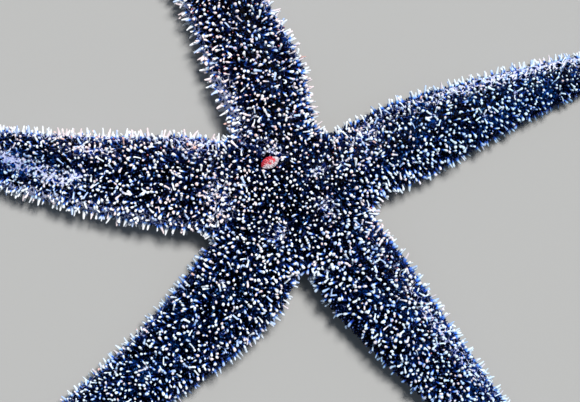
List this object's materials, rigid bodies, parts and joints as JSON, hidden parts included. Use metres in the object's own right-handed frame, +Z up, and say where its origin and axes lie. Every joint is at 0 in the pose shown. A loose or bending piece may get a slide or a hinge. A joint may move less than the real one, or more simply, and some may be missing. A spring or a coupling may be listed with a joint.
{
  "type": "spiny starfish model",
  "caption": "Life-size spiny starfish lying flat: a low disc with long tapering arms, tube-foot grooves, mouth and madreporite, for display or study.",
  "frame": {"origin": "on the floor that the underside rests on, below the middle of the whole outline", "axes": "+Z up out of the back; +X and +Y lie in the floor, +X along the longer side of the outline, towards the shortest arm, and +Y towards the arm named north"},
  "size_m": [0.2192, 0.195, 0.0161],
  "materials": {
    "skin": "wet, near-black blue with violet patches",
    "spines": "satin, off-white with lilac and salmon tints",
    "madreporite": "satin coral red with a pale rim",
    "mouth": "moist, pale",
    "eyespot": "glossy red"
  },
  "bodies": {
    "root": {"disc": "skin", "arm_east": "skin", "arm_north": "skin", "arm_west": "skin", "arm_southwest": "skin", "arm_southeast": "skin", "arm_tip_east": "skin", "arm_tip_north": "skin", "arm_tip_west": "skin", "arm_tip_southwest": "skin", "arm_tip_southeast": "skin", "eyespot_east": "eyespot", "eyespot_north": "eyespot", "eyespot_west": "eyespot", "eyespot_southwest": "eyespot", "eyespot_southeast": "eyespot", "madreporite": "madreporite", "mouth": "mouth"}
  },
  "joints": []
}
